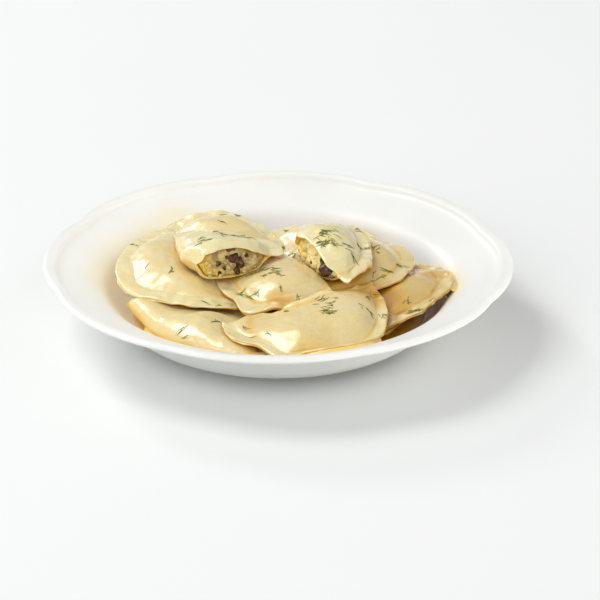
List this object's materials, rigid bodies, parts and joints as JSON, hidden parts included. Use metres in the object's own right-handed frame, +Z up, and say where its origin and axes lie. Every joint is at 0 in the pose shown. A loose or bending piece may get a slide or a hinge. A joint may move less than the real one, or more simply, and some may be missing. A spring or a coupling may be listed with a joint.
{
  "type": "plate of pierogi",
  "caption": "Deep white soup plate with a lobed rim, heaped with half-moon pierogi; halved ones show a mushroom and potato filling.",
  "frame": {"origin": "middle of the plate's foot ring, on the table", "axes": "+Z up, -Y towards the diner, +X to the diner's right"},
  "size_m": [0.24, 0.24, 0.0503],
  "materials": {
    "porcelain": "glossy",
    "dough": "moist satin",
    "filling": "matte",
    "butter": "wet and clear",
    "herbs": "matte"
  },
  "bodies": {
    "root": {"plate": "porcelain", "hidden_middle": "dough", "lower_right": "dough", "left_bottom": "dough", "back_mid": "dough", "back_left": "dough", "right_lower": "dough", "left_top": "dough", "right_upper": "dough", "centre": "dough", "front": "dough", "cut_left": "dough", "cut_right": "dough", "cut_left_filling": "filling", "cut_right_filling": "filling"}
  },
  "joints": []
}
